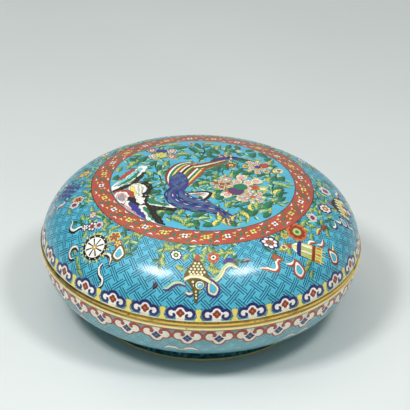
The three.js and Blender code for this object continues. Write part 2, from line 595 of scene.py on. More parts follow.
class Shell:
    """The outer face of a turned shell, laid out flat round its axis.

    s is the length over the surface from the axis. Lengths here are in millimetres; up is +1 for the domed
    cover and -1 for the bowl.
    """

    def __init__(self, radius, rise, fullness, up, base, edge_rise):
        share = np.linspace(0, 1, 3000)
        angle = math.acos(edge_rise / rise) * share ** (fullness / 2)
        self.r = radius * np.sin(angle) ** (2 / fullness)
        self.z = base + up * rise * np.cos(angle)
        steps = np.hypot(np.diff(self.r), np.diff(self.z))
        self.s = np.concatenate([[0], np.cumsum(steps)])
        self.edge = self.s[-1]
        self.up = up
        dr = np.gradient(self.r, self.s)
        dz = np.gradient(self.z, self.s)
        self.normal_r = -up * dz
        self.normal_z = up * dr

    def radius_at(self, s):
        return np.interp(s, self.s, self.r)

    def place(self, local, theta, s):
        """Local x (round the axis) and y (up the dome, or up the bowl) to the flat map."""
        far = s - self.up * local[:, 1]
        angle = math.radians(theta) + local[:, 0] / np.maximum(self.radius_at(far), 1.0)
        return np.c_[far * np.sin(angle), -far * np.cos(angle)]

    def surface(self, flat):
        """Points on the shell and its unit normals, in metres, for points of the flat map."""
        s = np.hypot(*flat.T)
        sine = np.divide(flat[:, 0], s, out=np.zeros_like(s), where=s > 0)
        cosine = np.divide(-flat[:, 1], s, out=np.ones_like(s), where=s > 0)
        r = np.interp(s, self.s, self.r)
        z = np.interp(s, self.s, self.z)
        nr = np.interp(s, self.s, self.normal_r)
        nz = np.interp(s, self.s, self.normal_z)
        points = np.c_[r * sine, -r * cosine, z] * MM
        normals = np.c_[nr * sine, -nr * cosine, nz]
        return points, normals / np.linalg.norm(normals, axis=1)[:, None]


def full_radius(edge_radius, edge_rise, rise, fullness):
    return edge_radius / (1 - (edge_rise / rise) ** 2) ** (1 / fullness)


LID_RISE = (LID_HIGH.z - RIM_BOTTOM) / MM
LID_EDGE_RISE = (LID_LOW.z - RIM_BOTTOM) / MM
BOWL_RISE = (RIM_BOTTOM - BOWL_LOW.z) / MM
BOWL_EDGE_RISE = (RIM_BOTTOM - BOWL_HIGH.z) / MM
LID_RADIUS = full_radius(LID_HIGH.x / MM, LID_EDGE_RISE, LID_RISE, LID_FULLNESS)
BOWL_RADIUS = full_radius(BOWL_HIGH.x / MM, BOWL_EDGE_RISE, BOWL_RISE, BOWL_FULLNESS)


def lid_face(inset=0.0):
    return Shell(LID_RADIUS - inset, LID_RISE - inset, LID_FULLNESS, 1, RIM_BOTTOM / MM, LID_EDGE_RISE)


def bowl_face(inset=0.0):
    return Shell(BOWL_RADIUS - inset, BOWL_RISE - inset, BOWL_FULLNESS, -1, RIM_BOTTOM / MM, BOWL_EDGE_RISE)


# ---------------------------------------------------------------- drawing on the flat map

class Drawing:
    """Closed outlines on a shell's flat map, the later ones over the earlier."""

    def __init__(self, shell, sides, colour):
        self.shell = shell
        self.sides = sides
        self.outlines = [polar(shell.edge, np.linspace(0, 2 * math.pi, sides, endpoint=False))]
        self.colours = [colour]

    def lay(self, outline, colour):
        """Adds an outline of the map, kept a hair inside the shell's edge."""
        outline = split_long(outline)
        self.outlines.append(clipped(outline, self.shell.edge - EDGE_MARGIN))
        self.colours.append(colour)

    def add(self, cells, place):
        """Draws the cells, each with its wire, where place puts their local points."""
        for cell in cells:
            if cell.wire:
                for outline in cell.outlines:
                    self.lay(place(split_long(grown(outline, cell.wire))), "wire")
            for outline in cell.outlines:
                self.lay(place(split_long(outline)), cell.colour)

    def at(self, cells, theta, s):
        self.add(cells, lambda local: self.shell.place(local, theta, s))

    def disc(self, s, colour, sides=240):
        self.lay(polar(s, np.linspace(0, 2 * math.pi, sides, endpoint=False)), colour)


def clipped(points, radius):
    """Points outside a circle pulled in to it."""
    far = np.hypot(*points.T)
    return points * np.minimum(1, radius / np.maximum(far, 1e-9))[:, None]


def split_line(line, longest=LONG_EDGE):
    """An open line with its long edges cut, so that they can follow the curve of the shell."""
    parts = []
    for start, end in zip(line, line[1:]):
        count = max(1, math.ceil(math.hypot(*(end - start)) / longest))
        parts.append(start + (end - start) * np.arange(count)[:, None] / count)
    return np.vstack(parts + [line[-1:]])


def split_long(outline, longest=LONG_EDGE):
    """A closed outline with its long edges cut."""
    parts = []
    after = np.roll(outline, -1, axis=0)
    lengths = np.hypot(*(after - outline).T)
    if lengths.max() <= longest:
        return outline
    for start, end, length in zip(outline, after, lengths):
        count = max(1, math.ceil(length / longest))
        parts.append(start + (end - start) * (np.arange(count)[:, None] / count))
    return np.vstack(parts)


def inside(points, outline):
    """Whether each point lies in the outline, by winding number."""
    ax, ay = outline.T
    bx, by = np.roll(outline, -1, axis=0).T
    found = []
    for part in np.array_split(points, 1 + len(points) * len(outline) // CHUNK):
        x, y = part.T[:, :, None]
        side = (bx - ax) * (y - ay) - (x - ax) * (by - ay)
        up = (ay <= y) & (by > y) & (side > 0)
        down = (ay > y) & (by <= y) & (side < 0)
        found.append(up.sum(axis=1) != down.sum(axis=1))
    return np.concatenate(found)


def filling_points(edge):
    """Points spread over the map, closer where the shell curves hardest."""
    points = []
    s = FILL_START
    while s < edge - 1.2:
        count = max(8, int(2 * math.pi * s / FILL_ROUND))
        points.append(polar(s, np.linspace(0, 2 * math.pi, count, endpoint=False) + s * FILL_TWIST))
        s += FILL_CROWN if s < edge * FILL_SHOULDER else FILL_BELOW
    return np.vstack(points)


def delaunay(points, edges):
    """Points and triangles of the plane that keep to the edges."""
    found = delaunay_2d_cdt([Vector(p) for p in points], edges, [], 0, MERGE_DISTANCE, False)
    return np.array([tuple(v) for v in found[0]]), np.array(found[2])


def topmost(drawing, places):
    """The index of the topmost outline over each place, or -1 outside them all."""
    order = np.argsort(places[:, 0])
    sorted_x = places[order, 0]
    top = np.full(len(places), -1)
    for index, outline in enumerate(drawing.outlines):
        low, high = outline.min(axis=0), outline.max(axis=0)
        first, last = np.searchsorted(sorted_x, (low[0], high[0]))
        near = order[first:last]
        y = places[near, 1]
        near = near[(y > low[1]) & (y < high[1])]
        if len(near):
            top[near[inside(places[near], outline)]] = index
    return top


def colour_edges(triangles, colours):
    """The edges between triangles of different colours, and those round the outside."""
    edges = np.sort(np.vstack([triangles[:, [0, 1]], triangles[:, [1, 2]], triangles[:, [2, 0]]]), axis=1)
    colours = np.tile(colours, 3)
    order = np.lexsort((edges[:, 1], edges[:, 0]))
    edges, colours = edges[order], colours[order]
    paired = (edges[1:] == edges[:-1]).all(axis=1)
    kept = np.ones(len(edges), bool)
    kept[:-1][paired] = colours[1:][paired] != colours[:-1][paired]
    kept[1:][paired] = False
    return edges[kept]


def paths_along(edges):
    """Runs of points along the edges, each from one fork to the next, or all the way round."""
    beside = {}
    for one, two in edges.tolist():
        beside.setdefault(one, []).append(two)
        beside.setdefault(two, []).append(one)
    forks = [point for point in beside if len(beside[point]) != 2]
    done = set()
    paths = []
    for start in forks + list(beside):
        for step in beside[start]:
            if (start, step) in done:
                continue
            path = [start, step]
            while path[-1] != start and len(beside[path[-1]]) == 2:
                one, two = beside[path[-1]]
                path.append(two if one == path[-2] else one)
            done.update(zip(path, path[1:]))
            done.update(zip(path[1:], path))
            paths.append(path)
    return paths


def thinned(path, tolerance):
    """The path with only the points that keep it within the tolerance (Douglas-Peucker)."""
    keep = {0, len(path) - 1}
    spans = [(0, len(path) - 1)]
    while spans:
        start, end = spans.pop()
        if end - start < 2:
            continue
        along = path[end] - path[start]
        offsets = path[start + 1:end] - path[start]
        length = math.hypot(*along)
        if length > 1e-6:
            away = np.abs(along[0] * offsets[:, 1] - along[1] * offsets[:, 0]) / length
        else:
            away = np.hypot(*offsets.T)
        furthest = int(np.argmax(away))
        if away[furthest] > tolerance:
            middle = start + 1 + furthest
            keep.add(middle)
            spans += [(start, middle), (middle, end)]
    return path[sorted(keep)]


def loop_edges(start, count):
    return [(start + i, start + (i + 1) % count) for i in range(count)]


def cut_map(drawing, lines, edges):
    """The triangles of the map, cut along lines, each with the index of the outline over it."""
    flat, triangles = delaunay(np.vstack(lines + [filling_points(drawing.shell.edge)]), edges)
    top = topmost(drawing, flat[triangles].mean(axis=1))
    return flat, triangles[top >= 0], top[top >= 0]


def triangulated(drawing):
    """Triangles for what can be seen of the drawing, each with the index of the outline over it.

    The first pass cuts the map along every outline. The second keeps only the lines where the colour
    changes, without the points that they can spare.
    """
    edges = []
    for outline in drawing.outlines:
        edges += loop_edges(edges[-1][0] + 1 if edges else 0, len(outline))
    flat, triangles, top = cut_map(drawing, drawing.outlines, edges)
    colours = np.unique(drawing.colours, return_inverse=True)[1]
    changes = colour_edges(triangles, colours[top])
    on_rim = np.hypot(*flat.T) > drawing.shell.edge - EDGE_MARGIN / 2
    changes = changes[~on_rim[changes].all(axis=1)]

    lines = [drawing.outlines[0]]
    start = len(lines[0])
    edges = loop_edges(0, start)
    for path in paths_along(changes):
        line = split_line(thinned(flat[path], LINE_TOLERANCE))
        lines.append(line)
        edges += [(start + i, start + i + 1) for i in range(len(line) - 1)]
        start += len(line)
    return cut_map(drawing, lines, edges)


# ---------------------------------------------------------------- meshes

def new_object(name, points, faces, materials):
    mesh = bpy.data.meshes.new(name)
    mesh.from_pydata([tuple(p) for p in points], [], [tuple(int(i) for i in f) for f in faces])
    mesh.update()
    piece = bpy.data.objects.new(name, mesh)
    bpy.context.scene.collection.objects.link(piece)
    for material in materials:
        mesh.materials.append(material)
    return piece


def rim_of(flat, shell, sides):
    """The points on the edge of the outer face, in order round the axis."""
    rim = np.flatnonzero(np.hypot(*flat.T) > shell.edge - EDGE_MARGIN / 2)
    rim = rim[np.argsort(np.arctan2(flat[rim, 1], flat[rim, 0]) % (2 * math.pi - 1e-7))]
    assert len(rim) == sides, (len(rim), sides)
    return rim


def closing_faces(rim, start, sides):
    """Faces from the rim over the inner face's rings, which begin at point start, to the axis."""
    loops = [rim] + [np.arange(sides) + start + sides * ring for ring in range(INNER_RINGS)]
    faces = []
    for one, two in zip(loops, loops[1:]):
        faces += zip(np.roll(one, -1), one, two, np.roll(two, -1))
    tip = start + sides * INNER_RINGS
    return faces + [(after, before, tip) for after, before in zip(np.roll(loops[-1], -1), loops[-1])]


def shell_piece(name, drawing, inner, materials):
    """A closed shell: the drawn outer face, the plain inner face, and the edge between them."""
    shell, sides = drawing.shell, drawing.sides
    flat, triangles, top = triangulated(drawing)
    used, triangles = np.unique(triangles, return_inverse=True)
    triangles = triangles.reshape(-1, 3)
    flat = flat[used]
    points, normals = shell.surface(flat)
    if shell.up < 0:
        triangles = triangles[:, ::-1]
    angle = np.linspace(0, 2 * math.pi, sides, endpoint=False)
    rings = [polar(s, angle) for s in np.linspace(inner.edge, 0, INNER_RINGS + 1)[:-1]]
    inner_flat = np.vstack(rings + [np.zeros((1, 2))])
    inner_points, inner_normals = inner.surface(inner_flat)
    closing = closing_faces(rim_of(flat, shell, sides), len(points), sides)
    if shell.up > 0:
        closing = [face[::-1] for face in closing]
    colours = [drawing.colours[i] for i in top] + [LINING] * len(closing)

    faces = [tuple(t) for t in triangles] + closing
    piece = new_object(name, np.vstack([points, inner_points]), faces, materials)
    paint(piece.data, colours, np.vstack([normals, -inner_normals]))
    map_for_baking(piece.data, flat / shell.edge, inner_flat / inner.edge, 3 * len(triangles))
    return piece


def paint(mesh, colours, normals):
    """Gives each face its enamel colour or the wire's material, and each vertex its true normal."""
    table = np.array([ENAMELS.get(name, ENAMELS["gold"]) + [1.0] for name in colours])
    counts = np.array([p.loop_total for p in mesh.polygons])
    layer = mesh.color_attributes.new("enamel", "FLOAT_COLOR", "CORNER")
    layer.data.foreach_set("color", np.repeat(table, counts, axis=0).ravel())
    slots = np.array([WIRE_SLOT if name == "wire" else 0 for name in colours], np.int32)
    mesh.polygons.foreach_set("material_index", slots)
    mesh.polygons.foreach_set("use_smooth", np.ones(len(colours), bool))
    mesh.normals_split_custom_set_from_vertices([tuple(n) for n in normals])


def map_for_baking(mesh, outer, inner, outer_corners):
    """The map that textures are baked on: two discs, for the outer face and for the edge and inner face.

    outer and inner are the flat places of the two faces' points, from 0 at the axis to 1 at the edge.
    """
    layer = mesh.uv_layers.new(name="OFBake")
    corner = np.empty(len(mesh.loops), np.int32)
    mesh.loops.foreach_get("vertex_index", corner)
    big = BIG_DISC[0] + BIG_DISC[1] * np.vstack([outer, inner])
    small = SMALL_DISC[0] + SMALL_DISC[1] * np.vstack([outer, 0.95 * inner])
    on_outer = np.arange(len(corner)) < outer_corners
    places = np.where(on_outer[:, None], big[corner], small[corner])
    layer.uv.foreach_set("vector", places.astype(np.float32).ravel())


def turned_ring(name, profile, materials, slots=None, sharp=35.0):
    """A closed section of (radius, height) pairs, turned about the axis; slots has each side's material."""
    angle = np.linspace(0, 2 * math.pi, BAND_SIDES, endpoint=False)
    round_axis = np.c_[np.sin(angle), -np.cos(angle)]
    points = np.vstack([np.c_[r * round_axis, np.full(BAND_SIDES, z)] for r, z in profile])
    faces = []
    for i in range(len(profile)):
        lower, upper = i * BAND_SIDES, (i + 1) % len(profile) * BAND_SIDES
        for j in range(BAND_SIDES):
            k = (j + 1) % BAND_SIDES
            faces.append((lower + j, lower + k, upper + k, upper + j))
    piece = new_object(name, points, faces, materials)
    for index, polygon in enumerate(piece.data.polygons):
        polygon.use_smooth = True
        polygon.material_index = slots[index // BAND_SIDES] if slots else 0
    piece.data.set_sharp_from_angle(angle=math.radians(sharp))
    return piece


# ---------------------------------------------------------------- materials

class Tree:
    """The nodes of a material or a world; each method adds a node and gives its output."""

    def __init__(self, owner):
        owner.use_nodes = True
        self.owner = owner
        self.nodes = owner.node_tree.nodes
        self.links = owner.node_tree.links

    def source(self, kind, output):
        return self.nodes.new(kind).outputs[output]

    def noise(self, scale, detail=4.0, roughness=0.55):
        """Noise over the object's own place, in features per metre."""
        made = self.nodes.new("ShaderNodeTexNoise")
        fix(made, {"Scale": scale, "Detail": detail, "Roughness": roughness})
        self.links.new(self.source("ShaderNodeTexCoord", "Object"), made.inputs["Vector"])
        return made.outputs["Fac"]

    def ramp(self, value, stops):
        made = self.nodes.new("ShaderNodeValToRGB")
        elements = made.color_ramp.elements
        while len(elements) < len(stops):
            elements.new(0.5)
        for element, (position, colour) in zip(elements, stops):
            element.position = position
            element.color = (*colour, 1.0)
        self.links.new(value, made.inputs["Fac"])
        return made.outputs["Color"]

    def remap(self, value, low, high, new_low, new_high):
        made = self.nodes.new("ShaderNodeMapRange")
        fix(made, {"From Min": low, "From Max": high, "To Min": new_low, "To Max": new_high})
        self.links.new(value, made.inputs["Value"])
        return made.outputs["Result"]

    def times(self, one, two):
        made = self.nodes.new("ShaderNodeMath")
        made.operation = "MULTIPLY"
        self.links.new(one, made.inputs[0])
        self.links.new(two, made.inputs[1])
        return made.outputs[0]

    def blend(self, kind, factor, one, two):
        made = self.nodes.new("ShaderNodeMix")
        made.data_type = "RGBA"
        made.blend_type = kind
        for socket, value in ((made.inputs["Factor"], factor), (made.inputs[6], one), (made.inputs[7], two)):
            if hasattr(value, "is_linked"):
                self.links.new(value, socket)
            else:
                socket.default_value = value if isinstance(value, float) else (*value, 1.0)
        return made.outputs[2]

    def axes(self, coordinates):
        """The X, Y and Z of the coordinates, as the outputs of one node."""
        split = self.nodes.new("ShaderNodeSeparateXYZ")
        self.links.new(self.source("ShaderNodeTexCoord", coordinates), split.inputs["Vector"])
        return split.outputs


class Look(Tree):
    """A material that is ready to be coloured."""

    def __init__(self, name):
        super().__init__(bpy.data.materials.new(name))
        self.shader = self.nodes["Principled BSDF"]

    def drive(self, socket, value):
        self.links.new(value, self.shader.inputs[socket])

    def bump(self, height, strength, distance):
        made = self.nodes.new("ShaderNodeBump")
        fix(made, {"Strength": strength, "Distance": distance})
        self.links.new(height, made.inputs["Height"])
        self.drive("Normal", made.outputs["Normal"])


def fix(node, values):
    """Sets the node's own inputs."""
    for socket, value in values.items():
        node.inputs[socket].default_value = value


def mask(low, high):
    """The stops of a ramp from black at low to white at high."""
    return (low, (0, 0, 0)), (high, (1, 1, 1))


def enamel_material():
    """Polished glass enamel: each cell's colour, clouded and speckled, under a gloss with a soft haze."""
    look = Look("enamel")
    cell = look.nodes.new("ShaderNodeAttribute")
    cell.attribute_name = "enamel"
    clouds = look.remap(look.noise(55, 5), 0.3, 0.7, 0.86, 1.12)
    grain = look.remap(look.noise(900, 3, 0.7), 0.3, 0.7, 0.86, 1.12)
    colour = look.blend("MULTIPLY", 1.0, cell.outputs["Color"], look.times(clouds, grain))
    specks = look.ramp(look.noise(1400, 1, 0.5), mask(0.70, 0.76))
    look.drive("Base Color", look.blend("MIX", specks, colour, srgb("#5a4a30")))
    look.drive("Roughness", look.remap(look.noise(130, 4), 0.3, 0.7, 0.34, 0.5))
    look.bump(look.noise(260, 3), 0.18, 0.4 * MM)
    fix(look.shader, {"Specular IOR Level": 0.25, "Coat Weight": 0.62, "Coat Roughness": 0.18})
    return look.owner


def painted_shade_foot_enamel_material():
    """Blue-green enamel painted dark as the shade under the bowl, with paler specks."""
    look = Look("foot_enamel")
    # The dark and middle stops are painted shade; the pale stop gives the specks
    stops = ((0.4, srgb("#16404f")), (0.62, srgb("#2f7f8c")), (0.72, srgb("#8fb8ae")))
    look.drive("Base Color", look.ramp(look.noise(240, 4, 0.6), stops))
    fix(look.shader, {"Roughness": 0.25})
    return look.owner


def wire_material():
    """Fine gilt wire, partly darkened."""
    look = Look("gilt_wire")
    look.drive("Base Color", look.ramp(look.noise(350, 3), ((0.35, srgb("#3f3416")), (0.6, srgb("#a98436")))))
    fix(look.shader, {"Metallic": 1.0, "Roughness": 0.38})
    return look.owner


def painted_dark_reflection(look, colour):
    """A painted dark reflection: the same colour, nearly black on the left front, unevenly in patches."""
    left = look.remap(look.axes("Object")["X"], -0.13, -0.05, 1.0, 0.0)
    patches = look.remap(look.noise(110, 4, 0.6), 0.3, 0.6, 0.35, 0.95)
    return look.blend("MIX", look.times(left, patches), colour, srgb("#33260f"))


def gilt_material(name, bright, dull, wear, reflects_dark_left=False):
    """Gilt copper with rubbed and stained places, and, if asked, a painted dark reflection on the left front;
    wear moves the balance from bright (0) to dull (1).
    """
    look = Look(name)
    patches = look.noise(60, 8, 0.65)
    colour = look.ramp(patches, ((0.62 - 0.3 * wear, srgb(bright)), (0.8 - 0.3 * wear, srgb(dull))))
    stains = look.ramp(look.noise(420, 4, 0.6), mask(0.65 - 0.1 * wear, 0.72 - 0.1 * wear))
    colour = look.blend("MIX", stains, colour, srgb("#4a3414"))
    # On request the colour gets a painted dark reflection on the left front
    look.drive("Base Color", painted_dark_reflection(look, colour) if reflects_dark_left else colour)
    look.drive("Roughness", look.remap(patches, 0.3, 0.8, 0.26, 0.5))
    look.bump(look.noise(500, 4), 0.25, 0.3 * MM)
    fix(look.shader, {"Metallic": 1.0})
    return look.owner


def floor_material():
    look = Look("pale_floor")
    look.drive("Base Color", look.ramp(look.noise(3, 3), ((0.3, srgb("#d2d7d5")), (0.7, srgb("#d7dcda")))))
    fix(look.shader, {"Roughness": 0.75})
    return look.owner


# ---------------------------------------------------------------- the fret ground

def fret(shell, start, end, width, repeats=FRET_REPEATS):
    """Interlocking bars with T ends, slanting both ways, evenly spread round the axis.

    The bars lie on a square lattice turned by 45 degrees, in a map that keeps angles: u runs round the
    axis and v down the shell. Each bar is a stem with a cross bar at each end.
    """
    stations = np.linspace(start, end, 400)
    climb = FRET_REFERENCE / shell.radius_at(stations)
    v = np.concatenate([[0], np.cumsum((climb[1:] + climb[:-1]) / 2 * np.diff(stations))])
    pitch = (FRET_STEM / 2 + 1) * math.sqrt(2)
    step = 2 * math.pi * FRET_REFERENCE / repeats / pitch
    beam = fret_bar(width / 2 / step)
    outlines = []
    for row in range(-1, int(v[-1] / step / pitch) + 2):
        for column in range(repeats):
            for turn, shift in ((45, 0.0), (135, 0.5)):
                lattice = turned(beam, turn) + np.array([column + shift, row + shift]) * pitch
                far = np.interp(lattice[:, 1] * step, v, stations)
                if far.max() <= start or far.min() >= end:
                    continue
                angle = lattice[:, 0] * step / FRET_REFERENCE
                outlines.append(np.c_[far * np.sin(angle), -far * np.cos(angle)])
    return outlines


def fret_bar(half):
    """A bar with T ends, in lattice steps."""
    stem, cross = FRET_STEM / 2, FRET_CROSS / 2
    side = np.array([(cross, -half - stem), (cross, half - stem), (half, half - stem),
                     (half, stem - half), (cross, stem - half), (cross, stem + half)])
    corners = np.vstack([side, side[::-1] * (-1, 1)])
    return split_long(np.roll(corners, 5, axis=0), 2.0)


# ---------------------------------------------------------------- the cover's decoration

def ring_leaves():
    """The leaf dashes and ovals between two florets of the ring."""
    return [
        oval(0, 0, 1.5, 2.3, "green", FINE, -20),
        band([(-6.8, 3.6), (-4.8, 2.4), (-3.6, 4.4)], [0.4, 1.3, 0.4], "yellow", 0.2),
        band([(3.8, -4.6), (5.4, -3.4), (7.4, -4.4)], [0.4, 1.4, 0.4], "yellow", 0.2),
        oval(5.2, 4.0, 1.6, 0.9, "green", 0.2, 30),
        oval(-5.0, -3.9, 1.6, 0.9, "green", 0.2, 30),
        band([(-3.4, -6.6), (-1.0, -5.2), (1.4, -6.4)], [0.4, 1.2, 0.4], "white", 0.2),
        band([(-1.6, 6.4), (0.6, 5.4), (3.0, 6.6)], [0.4, 1.2, 0.4], "white", 0.2),
        band([(-2.4, -2.6), (-3.4, 0), (-2.2, 2.4)], [0.5, 0.6, 0.4], "rust", 0),
        band([(2.4, -2.2), (3.6, 0.4), (2.6, 3.0)], [0.5, 0.6, 0.4], "rust", 0),
        oval(-6.6, -6.2, 1.7, 0.9, "green", 0.2, -20),
        oval(6.4, 6.8, 1.7, 0.9, "green", 0.2, -20),
        band([(4.4, -0.6), (5.6, 0.8), (7.2, 0.4)], [0.4, 1.2, 0.4], "yellow", 0.2),
        band([(-7.4, 0.4), (-5.8, -0.8), (-4.6, 0.4)], [0.4, 1.2, 0.4], "lime", 0.2),
    ]


def draw_ring(drawing):
    """The red ring round the medallion, and the sky blue inside it."""
    drawing.disc(RING_OUTER + RING_WIRE_OUT, "wire")
    drawing.disc(RING_OUTER - RING_WIRE_IN, "coral")
    for i in range(FLORETS):
        theta, after = np.interp((i, i + 1), FLORET_STATIONS, FLORET_ANGLES)
        drawing.at(floret(*(("white", "navy"), ("yellow", "green"))[i % 2]), theta, RING_MIDDLE)
        drawing.at(ring_leaves(), (theta + after) / 2, RING_MIDDLE)
    drawing.disc(MEDALLION + MEDALLION_WIRE, "wire")
    drawing.disc(MEDALLION, "sky")


def draw_row(drawing, cells, count, first, s):
    """The same cells, evenly round the axis."""
    for i in range(count):
        drawing.at(cells, first + 360 / count * i, s)


def draw_lid():
    shell = lid_face()
    drawing = Drawing(shell, LID_SIDES, "cream")
    drawing.disc(shell.edge - LID_EDGE_LINE, "turquoise")
    for outline in fret(shell, RING_OUTER, shell.edge - FRET_MARGIN, LID_FRET_WIDTH):
        drawing.lay(outline, "fret")
    draw_emblems(drawing)
    draw_row(drawing, border_wedge(), LID_HEADS, LID_HEAD_START + 180 / LID_HEADS, HEAD_CENTRE)
    draw_row(drawing, ruyi_head(), LID_HEADS, LID_HEAD_START, HEAD_CENTRE)
    draw_ring(drawing)
    draw_medallion(drawing)
    return drawing


class Group(NamedTuple):
    """An emblem on the dome with its ribbons, loops, blossoms and leaves, in millimetres from its centre."""
    emblem: Callable
    theta: float
    s: float
    tilt: float
    waves: tuple
    loops: tuple
    blossoms: tuple
    leaves: tuple


NAVY_BLOSSOM = ("navy", "white", "green", "yellow", 8)
CORAL_BLOSSOM = ("coral", "white", "cream", "black", 6)
WHITE_BLOSSOM = ("white", "pink", "navy", "coral", 6)
YELLOW_BLOSSOM = ("yellow", "white", "coral", "green", 5)
ORANGE_BLOSSOM = ("orange", "yellow", "lime", "rust", 7)

# What goes round each emblem at the back
HIDDEN = {
    "waves": ((((14, -3), (19, -6), (25, -3), (29, -7)), "white", "coral"),
              (((-14, -3), (-19, -6), (-25, -3), (-29, -7)), "white", "navy")),
    "loops": ((13, -8, 28, "coral", "white", 14), (-13, -8, -28, "navy", "cream", 14)),
    "blossoms": ((-18, 15, 6.0, NAVY_BLOSSOM), (18, 15, 6.0, CORAL_BLOSSOM)),
    "leaves": ((-27, 24, 20), (27, 24, 160), (-9, 24, 120), (9, 24, 60), (-27, 8, 130), (27, 8, 50),
               (-36, 16, 0), (36, 16, 0), (0, 27, 90)),
}

LEAF_KINDS = {"light": ("lime", "green"), "dark": ("green", "deep_green"), "yellow": ("yellow", "green"),
              "teal": ("pale_green", "green")}
GROUP_SPRAYS = ((-34, 9), (-31, 20), (-20, 26), (-9, 28), (-3, 19), (3, 28), (14, 26), (23, 20), (30, 25),
                (35, 11))


def spray(kind, random):
    """A short dark twig with three small two-coloured leaves."""
    cells = [band([(-6, 0), (0, 0.6), (6, 0)], [0.5, 0.7, 0.4], "deep_green", 0.15)]
    light, dark = LEAF_KINDS[kind]
    whole, upper = leaf_shape(7.6, 3.8, count=6)[-2:]
    small = [Cell([whole], dark, 0.25), Cell([upper], light, 0)]
    for x, y, turn in ((-2.5, 2.8, 60), (1.5, -2.6, -55), (7.5, 0.6, 5)):
        cells += moved(small, x, y, turn + random.uniform(-SPRAY_TURN, SPRAY_TURN))
    return cells


def group_cells(group):
    cells = []
    random = np.random.default_rng(round(group.theta) + 180)
    for index, (x, y) in enumerate(GROUP_SPRAYS):
        cells += moved(spray(("dark", "light", "teal")[index % 3], random), x, y, random.uniform(0, 360))
    for x, y, turn in group.leaves:
        cells += moved(leaf(8.5, 4.4), x, y, turn)
    for points, top, under in group.waves:
        cells += wave(points, top, under)
    for x, y, turn, outer, inner, length in group.loops:
        cells += moved(loop(outer, inner, length, length * 0.66), x, y, turn)
    for x, y, radius, kind in group.blossoms:
        cells += moved(blossom(radius, *kind), x, y)
    return cells + moved(group.emblem(), turn=group.tilt)


